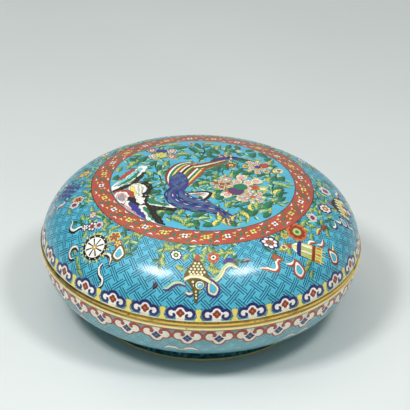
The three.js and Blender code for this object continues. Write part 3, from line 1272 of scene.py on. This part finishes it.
GROUPS = (
    Group(
        wheel, -46.9, 134.0, 0,
        waves=(
            (((12, -2), (17, 0.5), (22, -1.5), (24.5, -8)), "white", "black"),
            (((17.5, -9), (16.5, -14), (19.5, -19), (24.5, -22), (25.5, -27), (22.5, -31)), "white", "black"),
            (((-27, 8), (-31, 6), (-35, 0), (-41, -1), (-44, 3), (-47, 4)), "white", "black"),
            (((-15, -10.5), (-19.5, -9), (-24, -12.5), (-24, -18), (-20, -21), (-15.5, -18.5)), "white",
              "black"),
        ),
        loops=((21, 14, 28, "olive", "white", 19),),
        blossoms=((-19, 14, 5.6, ("navy", "white", "coral", "navy", 6)), (-14, 19, 4.2, WHITE_BLOSSOM),
                  (-25, 9, 4.0, ("navy", "white", "white", "coral", 5)),
                  (10, 17.5, 6.0, ("yellow", "coral", "coral", "green", 6)),
                  (18, 13, 4.0, ("coral", "yellow", "yellow", "coral", 5)), (-30, 22, 4.0, CORAL_BLOSSOM)),
        leaves=((31, 8.5, 80), (22, 20, 40), (-6, 23, 100), (3, 25, 60), (-24, 9, -60), (-20, 3, -80),
                (-20, -14, -40), (-12, -19, -60), (-6, -24, -40), (-2, -28, -20), (19, 12, 10),
                (-26, 27, 20), (-37, 15, 160), (26, 27, 0), (-12, 27, 150), (-38, 26, 170)),
    ),
    Group(
        conch, -1.5, 133.0, 0,
        waves=(
            (((-9, -11), (-14, -9.2), (-20, -11), (-25, -15.5), (-29, -16)), "pale_green", "violet"),
            (((-2, -17.5), (-5.5, -18.6), (-9, -16.8)), "cream", "violet"),
            (((12, -4), (17, -5), (21.5, 0), (24, 5.5), (29, 8.5), (35, 5.5)), "pale_green", "cream"),
            (((23.5, 10.5), (26.5, 13), (31.5, 12), (34, 9.5)), "violet", "violet"),
            (((42, 9.5), (45, 11), (48, 9.6)), "grey", "violet"),
            (((-34, -12), (-36.5, -14.5), (-38, -17)), "navy", "black"),
        ),
        loops=((11, -4, 24, "violet", "cream", 19),),
        blossoms=((-18.5, 16, 5.4, NAVY_BLOSSOM),
                  (14.5, 15.5, 5.6, ("orange", "coral", "white", "black", 6))),
        leaves=((19, 3, 130), (15, 9, 100), (-26, 26, 150), (-15.3, 25.5, 60), (-25.6, 19.5, 20),
                (-29, 8, 110), (-14, 5, 160), (-8.5, 14.5, 60), (29, 21.5, 170), (22, 18, 20), (8, 21, 80),
                (12.4, 24.5, 120), (6, 11, 70), (13, 5.5, 150), (18, 0, 20), (-20, 22, 110)),
    ),
    Group(
        parasol, 48.4, 133.0, 47,
        waves=(
            (((-54, 0.5), (-48, -1), (-42.5, -4.2), (-38.6, -2), (-37, 2), (-33, 4), (-29, 2.5)), "white",
              "coral"),
            (((-37, 5), (-35, 8.5), (-32.5, 7.5), (-30, 4)), "coral", "coral"),
            (((-29, -2), (-24, -3.4), (-19, -1)), "white", "coral"),
            (((4, 5), (8.5, 7), (13.5, 4)), "white", "coral"),
            (((14, 1), (19, -1.4), (24, 2)), "white", "coral"),
            (((22, 8.5), (27, 11), (31, 10)), "yellow", "coral"),
            (((33, 8), (36.5, 9.5), (40, 8)), "coral", "rust"),
            (((47, 5), (50, 1), (54, 0.5), (57, 4)), "white", "navy"),
            (((60, 3), (64, -2), (69, -2)), "white", "navy"),
            (((22, -14), (27, -13), (32, -8)), "cream", "lime"),
        ),
        loops=((-18, -1, -10, "coral", "white", 19), (23, -8, 17, "rust", "white", 18)),
        blossoms=((-28, 22, 8.0, ("navy", "white", "coral", "green", 7)),
                  (4.5, 21, 10.0, ("orange", "rust", "lime", "green", 9)),
                  (-10, 23, 3.6, ("yellow", "lime", "orange", "yellow", 5)), (-20, 13, 3.4, YELLOW_BLOSSOM),
                  (34, 22, 5.0, WHITE_BLOSSOM)),
        leaves=((-17, 23, 40), (-15, 14, 100), (-9, 25, 70), (-24, 10, -40), (14, 17, -60), (19, 23, 10),
                (-17, 7, 60), (-11, -14, 20), (-8, -20, 60), (15, 9, 40), (-3, 27, 130), (-1, 16, 80),
                (24, 16, -30), (40, 12, 20), (36, 2, 60), (-6, -10, 10), (42, 26, 10)),
    ),
    Group(
        canopy, 88.0, 134.0, 24,
        waves=(
            (((14, 2), (20, 5), (26, 2), (31, 6)), "white", "coral"),
            (((-14, -8), (-18, -13), (-14, -19), (-18, -24)), "white", "navy"),
            (((13, -12), (18, -17), (24, -15)), "cream", "coral"),
        ),
        loops=((-18, 2, -20, "navy", "white", 14), (20, -6, 20, "coral", "white", 15)),
        blossoms=((-19, 17, 7.0, ("navy", "white", "orange", "yellow", 8)), (13, 18, 6.0, WHITE_BLOSSOM)),
        leaves=((-9, 21, 70), (2, 25, 20), (24, 20, -20), (-28, 12, 150), (-27, 24, 30), (9, 10, 60),
                (-12, 9, 130), (28, 11, 20)),
    ),
    Group(lotus, 135.0, 133.0, 0, **HIDDEN),
    Group(vase, 180.0, 133.0, 0, **HIDDEN),
    Group(fish_pair, -135.0, 133.0, 0, **HIDDEN),
    Group(
        endless_knot, -92.0, 128.0, 0,
        waves=(
            (((15, -2), (19, -5), (17, -10), (21, -14)), "white", "orange"),
            (((-15, -4), (-20, -8), (-18, -14), (-23, -17)), "white", "coral"),
        ),
        loops=((9, -14, 24, "coral", "white", 14), (-9, -14, -24, "coral", "white", 14)),
        blossoms=((25, 11, 5.5, ("cream", "coral", "rust", "orange", 6)), (31, 6, 5.0, WHITE_BLOSSOM),
                  (-24, 12, 6.0, ORANGE_BLOSSOM)),
        leaves=((16, 18, 30), (8, 22, 60), (-4, 24, 120), (-14, 20, 150), (34, 17, 20), (20, 5, -50),
                (-19, 4, 60), (38, 1, 170), (-32, 16, 20), (24, 21, 0)),
    ),
)


def draw_emblems(drawing):
    for group in GROUPS:
        drawing.at(group_cells(group), group.theta, group.s)


# ---------------------------------------------------------------- the medallion

MEDALLION_LEAVES = (
    ("light", 15, ((-63, 50, 10), (-28, 73, 20), (-12, -73, 60), (-22, -71, -40), (-33, -57, 30),
                   (73, -2, -20), (52, -40, 80), (58, -46, -70), (38, -58, -45), (-63, 33, 60), (2, -5, 25),
                   (-19, 51, 10))),
    ("light", 12, ((5, 76, 10), (24, 57, 80), (-52, 12, -60), (-17, -58, 60), (25, -42, 70), (68, -30, 40),
                   (29, 14, 80), (13, 12, 80), (15, 70, 80), (63, 8, 85), (65, 45, 80), (-41, 70, 20),
                   (-77, 22, 75), (-8, -79, 10), (9, 24, 15), (36, 44, 20), (-57, 62, 40), (-33, 32, 100),
                   (-45, 45, 150), (-66, -2, 60))),
    ("dark", 14, ((-10, 61, -60), (-20, 66, 30), (7, 60, 85), (48, 57, 80), (18, -29, 60), (72, -17, 80),
                  (43, -53, -30), (48, -54, 60), (62, -38, 70), (-44, -24, 20), (70, -9, 50), (43, 17, 10),
                  (38, 44, 160), (-26, -57, 60), (57, 60, 120), (8, -78, 10), (-55, 42, 70), (-2, -62, 30),
                  (12, 61, 120), (-50, 62, 120))),
    ("dark", 11, ((6, 12, 0), (33, 19, 35), (15, 27, 70), (22, 28, 110), (25, 73, 80), (33, 73, 110),
                  (62, 50, 60), (75, 12, 80), (68, 12, 95), (-79, 6, 85), (-5, -6, 100), (12, 40, 20),
                  (-30, 62, 60), (-5, 74, 110), (-57, 20, 100), (-50, 0, 60), (-40, 24, 80), (-46, 33, 60),
                  (0, 46, 30), (30, 64, 30), (-66, 42, 120), (74, -26, 60), (60, -56, 50), (30, -72, 100),
                  (-3, -74, 100), (55, 16, 40), (8, 50, 150), (-36, -64, 80), (45, 66, 30), (20, 44, 60),
                  (16, -18, 40), (12, 4, 120), (60, -22, 20), (66, 34, 40))),
    ("yellow", 13, ((12, -25, 85), (38, -60, -50), (27, -66, 80), (19, -64, 80), (70, 27, 70), (15, -73, 60),
                    (46, -44, 95), (70, -14, 60), (-40, 52, 20))),
    ("teal", 12, ((57, -51, 40), (34, 3, 80), (-70, 62, 30), (52, 70, 140), (2, -68, 20), (-48, -8, 40),
                  (20, 8, 60), (-38, 14, 95), (28, 40, 130))),
)

STEMS = (
    (((12, -41), (22, -35), (32, -26), (38, -14)), "green"),
    (((28, -49), (36, -42), (44, -34), (50, -20)), "green"),
    (((-34, -66), (-20, -65), (-4, -64), (12, -62)), "green"),
    (((-8, -56), (-2, -60), (8, -66)), "green"),
    (((24, 29), (30, 18), (34, 4), (36, -8)), "green"),
    (((66, -2), (60, 10), (54, 22)), "green"),
    (((44, -34), (56, -38), (66, -36)), "green"),
    (((-46, 38), (-44, 24), (-40, 8), (-38, -2)), "black"),
    (((0, 68), (1, 60), (-1, 50), (-4, 37)), "black"),
    (((4, 60), (14, 54), (24, 51), (36, 47), (46, 44)), "black"),
    (((-52, -20), (-46, -16), (-42, -12)), "black"),
    (((66, 0), (64, -10), (68, -20)), "black"),
    (((15, -38), (24, -31), (33, -25)), "green"),
    (((25, -48), (38, -38), (50, -30)), "green"),
    (((30, -46), (40, -41), (46, -33)), "deep_green"),
    (((62, 0), (64, 8), (62, 20), (66, 32)), "deep_green"),
    (((-62, 26), (-60, 38), (-64, 48)), "deep_green"),
    (((-12, -70), (-14, -62), (-20, -55)), "deep_green"),
    (((20, 10), (18, 20), (22, 32), (26, 33)), "deep_green"),
    (((30, 18), (36, 26), (42, 28)), "deep_green"),
    (((-20, 50), (-28, 58), (-36, 62)), "deep_green"),
    (((5, 55), (8, 62), (6, 72)), "deep_green"),
)

WING_OUTER = ((-31, -12), (-34.5, 4), (-32, 20), (-24, 33), (-10, 38))
WING_INNER = ((-15, -14), (-9, -2), (-3, 10), (2, 22), (6, 31))
FEATHERS = ("rust", "white", "green", "yellow", "coral", "white", "black", "yellow", "green", "rust", "white",
            "green", "yellow", "coral")

NECK = (
    (((-12, 30), (-2, 33), (8, 38), (20, 44)), "rust"),
    (((-9, 27), (1, 31), (10, 36), (21, 43)), "cream"),
    (((-5, 25), (4, 29), (12, 35), (22, 42)), "olive"),
    (((-1, 22), (7, 28), (15, 34), (23, 41)), "coral"),
    (((2, 20), (9, 25), (16, 32), (24, 40)), "green"),
)

TAIL = (
    (((-28, -12), (-33, -26), (-28, -42), (-14, -52), (4, -55), (18, -62), (25, -76)), "navy"),
    (((-26, -14), (-30, -27), (-25, -41), (-12, -49), (5, -52), (19, -58), (28, -70)), "blue"),
    (((-24, -16), (-27, -28), (-21, -39), (-9, -46), (6, -49), (20, -55), (29, -62)), "violet"),
    (((-22, -17), (-23, -28), (-17, -38), (-6, -43), (7, -46), (18, -52), (22, -60)), "navy"),
    (((-20, -18), (-19, -28), (-13, -35), (-3, -40), (8, -43), (16, -48)), "blue"),
    (((-18, -18), (-15, -26), (-9, -32), (1, -36), (8, -40)), "violet"),
)
TAIL_DASHES = {"navy": "sky", "blue": "coral", "violet": "cream"}

ROCKS = (
    (((-85, -12), (-73, 3), (-64, 17), (-59, 27), (-52, 26), (-56, 13), (-63, 1), (-73, -9), (-83, -19)),
      "white"),
    (((-81, -10), (-72, 2), (-64, 14), (-59, 23), (-57, 21), (-60, 11), (-67, 0), (-75, -8)),
      "pale_turquoise"),
    (((-78, -10), (-70, 0), (-63, 10), (-60, 19), (-61, 8), (-69, -4)), "green"),
    (((-78, 4), (-72, 13), (-66, 22), (-64, 21), (-69, 10), (-75, 2)), "coral"),
    (((-84, -19), (-72, -11), (-64, -4), (-58, 5), (-54, 15), (-55, 8), (-60, -4), (-68, -13), (-80, -21)),
      "black"),
    (((-68, -6), (-62, -5), (-55, -8), (-51, -15), (-53, -28), (-60, -32), (-64, -24), (-68, -14)), "white"),
    (((-65, -8), (-60, -8), (-56, -12), (-54, -19), (-57, -29), (-60, -24), (-61, -15)), "pale_green"),
    (((-63, -9), (-60, -10), (-58, -16), (-60, -26), (-63, -20), (-66, -12)), "white"),
    (((-66, -12), (-63, -13), (-61, -20), (-61, -28), (-64, -24)), "yellow"),
    (((-58, -10), (-56, -13), (-55, -22), (-57, -27), (-58, -18)), "white"),
    (((-58, -3), (-52, -7), (-48, -15), (-51, -25), (-49, -27), (-46, -14), (-51, -4)), "black"),
    (((-84, -22), (-74, -17), (-65, -21), (-62, -31), (-68, -42), (-74, -44), (-80, -34)), "coral"),
    (((-80, -25), (-74, -21), (-68, -25), (-67, -33), (-71, -41), (-76, -38)), "white"),
    (((-78, -27), (-74, -24), (-70, -28), (-70, -35), (-74, -38)), "pink"),
    (((-76, -29), (-73, -27), (-71, -31), (-72, -36), (-75, -35)), "grey"),
    (((-52, -28), (-44, -36), (-34, -42), (-24, -48), (-24, -52), (-36, -50), (-48, -46), (-55, -38)),
      "white"),
    (((-50, -32), (-42, -38), (-30, -45), (-34, -47), (-46, -43), (-52, -38)), "green"),
    (((-54, -42), (-44, -49), (-34, -52), (-23, -52), (-24, -55), (-36, -55), (-48, -52), (-56, -47)),
      "black"),
    (((-67, -36), (-60, -38), (-54, -50), (-48, -62), (-47, -72), (-54, -66), (-62, -54), (-70, -43)),
      "white"),
    (((-66, -40), (-61, -42), (-56, -52), (-51, -62), (-50, -69), (-56, -62), (-64, -50)), "violet"),
    (((-70, -44), (-64, -52), (-57, -62), (-51, -70), (-53, -72), (-61, -64), (-69, -52)), "pink"),
    (((-56, -46), (-50, -48), (-45, -58), (-40, -68), (-37, -77), (-44, -74), (-50, -62), (-55, -54)),
      "white"),
    (((-53, -49), (-49, -51), (-44, -60), (-40, -70), (-44, -70), (-49, -60)), "green"),
    (((-49, -48), (-44, -52), (-40, -62), (-35, -74), (-38, -78), (-43, -68), (-47, -58)), "black"),
    (((-66, -31), (-60, -34), (-56, -42), (-58, -46), (-64, -40), (-68, -36)), "black"),
    (((-60, -30), (-54, -32), (-52, -40), (-56, -44), (-60, -37)), "white"),
)

LINED_ROCKS = ("white", "pale_green", "pink", "green")

ROCK_EDGES = (
    ((-83, -20), (-74, -16), (-68, -10), (-63, -4), (-60, 4), (-55, 13)),
    ((-62, -5), (-55, -7), (-50, -13), (-49, -19), (-53, -26), (-53, -31)),
    ((-50, -31), (-51, -38), (-50, -44), (-44, -48), (-35, -50), (-24, -52)),
    ((-47, -50), (-42, -54), (-42, -60), (-38, -66), (-36, -72), (-34, -77)),
)


def rippled(outline, height=0.6, length=7.0):
    """The outline with small waves all along it."""
    steps = np.hypot(*(np.roll(outline, -1, axis=0) - outline).T)
    along = np.cumsum(steps) / steps.sum()
    waves = max(3, round(steps.sum() / length))
    return grown(outline, height * np.sin(2 * math.pi * waves * along)[:, None])


def rock(points, colour):
    """A rock's rippled shape, with an inner line."""
    outline = rippled(smooth(points, steps=7))
    middle = outline.mean(axis=0)
    inner = [Cell([middle + (outline - middle) * 0.62], colour, 0.2)] if colour in LINED_ROCKS else []
    return [Cell([outline], colour, FINE), *inner]


def rock_edge(points):
    """The dark shaded edge of a rock, with knobs along it."""
    path = smooth(points, closed=False, steps=5)
    knobs = [ellipse(x, y, 1.9) for x, y in path[::5]]
    return Cell([stroke(path, [1.2, 2.2, 2.2, 1.4]), *knobs], "black", FINE)


def feathers():
    """The raised wing: long feathers fanned between its outer and inner edges."""
    outer, inner = (smooth(edge, closed=False) for edge in (WING_OUTER, WING_INNER))
    cells = []
    for i, colour in enumerate(FEATHERS):
        share = (i + 0.5) / len(FEATHERS)
        path = (outer * (1 - share) + inner * share)[:len(outer) - (i * 5) % 4]
        cells.append(bar(path, [1.2, 2.2, 2.6, 2.6, 2.2, 0.9], colour, FINE))
    return cells


def scales():
    """The body: an oval of overlapping scales, with dots."""
    cells = [blob([(-28, 8), (-22, 16), (-16, 9), (-13, -4), (-17, -18), (-23, -20), (-29, -14), (-31, -2)],
                  "violet", steps=4)]
    for row in range(8):
        for column in range(4):
            x = -22 + (column - 1.5 + 0.5 * (row % 2)) * 3.6
            y = 11 - row * 3.7
            if ((x + 22) / 7.4) ** 2 + ((y + 2) / 15) ** 2 < 1:
                cells += [oval(x, y, 1.9, 2.1, "blue" if (row + column) % 3 else "violet", 0.22),
                          dot(x, y - 0.4, 0.55, ("navy", "coral")[(row + column) % 2], 0)]
    return cells


def tail():
    """Long curved feathers with a dashed line in each, and leaves over their tips."""
    cells = []
    for points, colour in TAIL:
        cells.append(band(points, [2.0, 3.6, 3.8, 3.6, 3.4, 3.0, 1.2], colour, steps=5))
        path = smooth(points, False, 5)
        dashes = [stroke(path[start:start + 3], [0.4, 0.9, 0.4]) for start in range(4, len(path) - 4, 4)]
        cells.append(Cell(dashes, TAIL_DASHES[colour], 0))
    for x, y, turn in ((26, -71, 95), (30, -64, 75), (17, -60, 110), (22, -70, 100)):
        cells += moved(leaf(11, 4.4, light="yellow", dark="navy"), x, y, turn)
    return cells


def bird():
    plume = band([(0, 0), (4, 1.2), (7, 0)], [1.6, 1.8, 0.4], "pink", FINE)
    return [
        *tail(),
        *feathers(),
        blob([(-15, -24), (-6, -20), (4, -19), (9, -22), (7, -29), (2, -36), (0, -30), (-6, -26)], "black"),
        blob([(-13, -24), (-5, -22), (4, -21), (6, -24), (1, -33), (0, -29), (-6, -26)], "white", FINE),
        band([(-9, -24.5), (-3, -25.5), (2, -26.5)], [0.8, 1.8, 0.6], "coral", 0.2),
        band([(-6, -23), (0, -23.4), (4, -24.5)], [0.6, 1.2, 0.4], "coral", 0.2),
        *scales(),
        *(band(points, [2.4, 2.3, 1.7, 1.0], colour, FINE) for points, colour in NECK),
        band([(8, 41), (18, 46), (27, 47), (33, 44)], [1.4, 4.8, 5.2, 1.6], "violet"),
        band([(22, 48), (28, 49.5), (36, 47), (46, 43.5)], [1.8, 2.4, 1.6, 0.6], "black", FINE),
        dot(26, 46, 1.3, "white"),
        *(moved([plume], x, 49, turn)[0] for x, turn in ((18, 120), (22, 100), (26, 80))),
    ]


SMALL_BLOSSOMS = (
    (26, 33, 5.0, ("rust", "coral", "yellow", "coral", 5)),
    (71, 28, 4.5, YELLOW_BLOSSOM),
    (33, 64, 3.0, ("white", "cream", "white", "cream", 4)),
    (-12, 77, 2.6, WHITE_BLOSSOM),
)


def flowers():
    cells = [
        *moved(peony(24, ("cream", "pink", "lime", "cream"), ("cream", "lime", "orange")), 36, -10),
        *moved(peony(14, ("lime", "cream", "yellow"), ("white", "cream"), "violet"), 51, 32),
        *moved(peony(11, ("cream", "lime"), ("cream", "orange"), "coral"), 18, -4),
        *moved(peony(12, ("pale_green", "cream"), ("pink", "cream"), "orange"), 46, -26),
        blob([(24, -12), (33, -11), (38, -16), (34, -23), (27, -22)], "purple", steps=4),
        blob([(30, -5), (37, -3), (41, -9), (35, -14), (29, -10)], "green", steps=4),
        blob([(54, 39), (60, 40), (61, 34), (57, 31), (53, 34)], "coral", steps=4),
    ]
    for x, y, radius, kind in SMALL_BLOSSOMS:
        cells += moved(blossom(radius, *kind), x, y)
    for x, y, colour in ((-49, 61, "pink"), (-30, 59, "white"), (-47, 47, "white"), (-30, 47, "pink")):
        cells += moved(blossom(5.0, colour, "coral", "white", "coral", 5), x, y)
    cells.append(oval(-40, 59, 5.2, 4.2, "violet"))
    return cells + moved(blossom(6.0, "lime", "yellow", "yellow", "orange", 6), -40, 50)


def undergrowth():
    """Sprays of small leaves spread over the whole picture, under everything else."""
    random = np.random.default_rng(UNDERGROWTH_SEED)
    kinds = ("dark", "teal", "light", "teal", "dark", "light")
    reach = int(MEDALLION // (SPRAY_PITCH * SPRAY_ROW)) + 1
    cells = []
    for row in range(-reach, reach + 1):
        for column in range(-reach, reach + 1):
            x = (column + 0.5 * (row % 2)) * SPRAY_PITCH + random.uniform(-SPRAY_SHIFT, SPRAY_SHIFT)
            y = row * SPRAY_PITCH * SPRAY_ROW + random.uniform(-SPRAY_SHIFT, SPRAY_SHIFT)
            if math.hypot(x, y) < MEDALLION - SPRAY_MARGIN:
                kind = kinds[random.integers(len(kinds))]
                cells += moved(spray(kind, random), x, y, random.uniform(0, 360))
    return cells


def draw_medallion(drawing):
    cells = undergrowth()
    cells += [band(points, [0.5, 1.0, 1.0, 0.6], colour, 0.2) for points, colour in STEMS]
    for kind, length, places in MEDALLION_LEAVES:
        for x, y, turn in places:
            cells += moved(leaf(length, length * 0.5, 0.12, *LEAF_KINDS[kind]), x, y, turn)
    cells += flowers()
    for points, colour in ROCKS:
        cells += rock(points, colour)
    cells += [rock_edge(points) for points in ROCK_EDGES]
    cells += bird()
    drawing.add(cells, lambda local: clipped(local, MEDALLION - MEDALLION_INSET))


# ---------------------------------------------------------------- the bowl's decoration

def draw_bowl():
    shell = bowl_face()
    drawing = Drawing(shell, BOWL_SIDES, "base_red")
    drawing.disc(shell.edge - BOWL_EDGE_LINE, "base")
    for outline in fret(shell, BASE_FRET_START, shell.edge - FRET_MARGIN, BASE_FRET_WIDTH):
        drawing.lay(outline, "base_fret")
    draw_row(drawing, base_bar(), BASE_HEADS, BASE_HEAD_START + 180 / BASE_HEADS, shell.edge)
    draw_row(drawing, base_head(), BASE_HEADS, BASE_HEAD_START, shell.edge)
    draw_row(drawing, low_lotus(), LOTUS_COUNT, LOTUS_START, shell.edge - LOTUS_DROP)
    return drawing


def low_lotus():
    """Two arched white petals with red edges and a small yellow heart between them."""
    cells = []
    for side in (-1, 1):
        crest = ((2.0, 0), (5.0, 3.2), (10.5, 3.6), (15.0, 0.4))
        petal = smooth([(side * x, y) for x, y in crest], closed=False)
        cells += [bar(petal + (0, 1.2), [0.8, 2.6, 3.0, 1.0], "base_red", 0.2),
                  bar(petal, [1.0, 3.0, 3.4, 1.0], "white", 0.2)]
    cells.append(oval(0, -0.6, 1.8, 1.4, "yellow", FINE))
    return cells + moved(leaf(9, 3.6, light="base_fret", dark="base_fret"), 0, -6, 0)


# ---------------------------------------------------------------- gilt bands and foot

def band_face(bottom, steps=8):
    share = np.linspace(0, 1, steps + 1)
    bulge = BAND_CROWN * np.sin(math.pi * share)
    return list(zip(RIM_RADIUS - BAND_CROWN + bulge, bottom + BAND_HEIGHT * share))


def lid_rim_profile():
    inner = RIM_RADIUS - BAND_THICKNESS
    return [(inner, LID_RIM_LOW.z), *band_face(LID_RIM_LOW.z), (inner, LID_RIM_HIGH.z)]


def bowl_rim_profile():
    band_top = RIM_BOTTOM + BAND_HEIGHT
    lip_outer = RIM_RADIUS - BAND_THICKNESS - LIP_PLAY
    lip_inner = lip_outer - LIP_THICKNESS
    lip_top = BOWL_RIM_HIGH.z
    return [(lip_inner, RIM_BOTTOM), *band_face(RIM_BOTTOM), (lip_outer, band_top), (lip_outer, lip_top),
            (lip_inner, lip_top)]


def under_bowl(radius):
    depth = BOWL_RISE * math.sqrt(1 - (radius / MM / BOWL_RADIUS) ** BOWL_FULLNESS) * MM
    return RIM_BOTTOM - depth - BAND_GAP


def foot_profile():
    outer = FOOT_RADIUS - FOOT_FLARE
    inner = outer - FOOT_THICKNESS
    half = FOOT_BEAD / 2
    bead = [(FOOT_RADIUS - half + half * math.cos(a), half + half * math.sin(a))
            for a in np.linspace(-math.pi / 2, math.pi / 2, 9)]
    return [(inner, 0), *bead, (outer, FOOT_BEAD + FOOT_FLARE / 2), (outer, under_bowl(outer)),
            (inner, under_bowl(inner))]


# ---------------------------------------------------------------- camera, floor, light

def make_camera():
    data = bpy.data.cameras.new("camera")
    data.lens = CAMERA_LENS
    data.clip_start = 0.05
    data.clip_end = 60
    camera = bpy.data.objects.new("camera", data)
    bpy.context.scene.collection.objects.link(camera)
    look = (CAMERA_TARGET - CAMERA_PLACE).to_track_quat("-Z", "Y").to_matrix().to_4x4()
    camera.matrix_world = Matrix.Translation(CAMERA_PLACE) @ look @ Matrix.Rotation(CAMERA_ROLL, 4, "Z")
    bpy.context.scene.camera = camera


def make_floor():
    points = [(x * FLOOR_HALF, y * FLOOR_HALF, 0) for x, y in ((-1, -1), (1, -1), (1, 1), (-1, 1))]
    floor = new_object("floor", points, [(0, 1, 2, 3)], [floor_material()])


def soft_light(name, azimuth, elevation, distance, size, power):
    """A studio light that faces the box from an azimuth (0 is the front, + to the right)."""
    a, e = math.radians(azimuth), math.radians(elevation)
    way = Vector((math.sin(a) * math.cos(e), -math.cos(a) * math.cos(e), math.sin(e)))
    data = bpy.data.lights.new(name, "AREA")
    data.shape = "RECTANGLE"
    data.size, data.size_y = size
    data.energy = power
    light = bpy.data.objects.new(name, data)
    bpy.context.scene.collection.objects.link(light)
    light.location = way * distance
    light.rotation_mode = "QUATERNION"
    light.rotation_quaternion = way.to_track_quat("Z", "Y")
    light.visible_camera = False


def make_world():
    """A studio that is bright overhead and behind the box, and dim in between, in front and at the left.

    Seen directly, it is an even pale grey.
    """
    world = bpy.data.worlds.new("studio")
    bpy.context.scene.world = world
    tree = Tree(world)
    way = tree.axes("Generated")
    sky = tree.ramp(way["Z"], WORLD_STOPS)
    behind = tree.remap(way["Y"], 0.0, 0.7, 0.0, 1.0)
    low = tree.remap(way["Z"], 0.3, 0.48, 1.0, 0.0)
    colour = tree.blend("MIX", tree.times(behind, low), sky, BACKDROP)
    colour = tree.blend("MULTIPLY", 1.0, colour, tree.remap(way["X"], -0.8, 0.0, 0.4, 1.0))
    colour = tree.blend("MIX", tree.source("ShaderNodeLightPath", "Is Camera Ray"), colour, BACKDROP)
    background = tree.nodes["Background"]
    tree.links.new(colour, background.inputs["Color"])
    fix(background, {"Strength": WORLD_STRENGTH})


def make_light():
    make_world()
    for light in LIGHTS:
        soft_light(*light)


def make_foot():
    profile = foot_profile()
    wall_sides = (len(profile) - 4, len(profile) - 3)
    slots = [int(side in wall_sides) for side in range(len(profile))]
    gilt = gilt_material("foot_gilt", "#ffe09a", "#c99c4a", 0.15)
    # The foot's wall enamel is painted dark as shade
    return turned_ring("foot", profile, [gilt, painted_shade_foot_enamel_material()], slots)


def make_pieces():
    """Each piece, with the solid that it stands for and its material slot."""
    enamel, wire = enamel_material(), wire_material()
    # The cover's band has a painted dark reflection on its left front
    cover_gilt = gilt_material("cover_gilt", "#f2c766", "#9a7a34", 0.35, True)
    bowl_gilt = gilt_material("bowl_gilt", "#ffe6a0", "#dcb25c", 0.15)
    cover = shell_piece("enamel_cover", draw_lid(), lid_face(WALL / MM), [enamel, wire])
    bowl = shell_piece("enamel_bowl", draw_bowl(), bowl_face(WALL / MM), [enamel, wire])
    return (
        (cover, "lid", "lid_enamel"),
        (bowl, "bowl", "bowl_enamel"),
        (turned_ring("cover_band", lid_rim_profile(), [cover_gilt]), "lid_rim", "gilding"),
        (turned_ring("bowl_band", bowl_rim_profile(), [bowl_gilt]), "bowl_rim", "gilding"),
        (make_foot(), "foot_ring", "foot_enamel"),
    )


def main():
    view = bpy.context.scene.view_settings
    view.view_transform = "Standard"
    view.look = "None"
    make_camera()
    make_floor()
    make_light()
    for piece, node, slot in make_pieces():
        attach(piece, "root")
        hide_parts(node)


main()
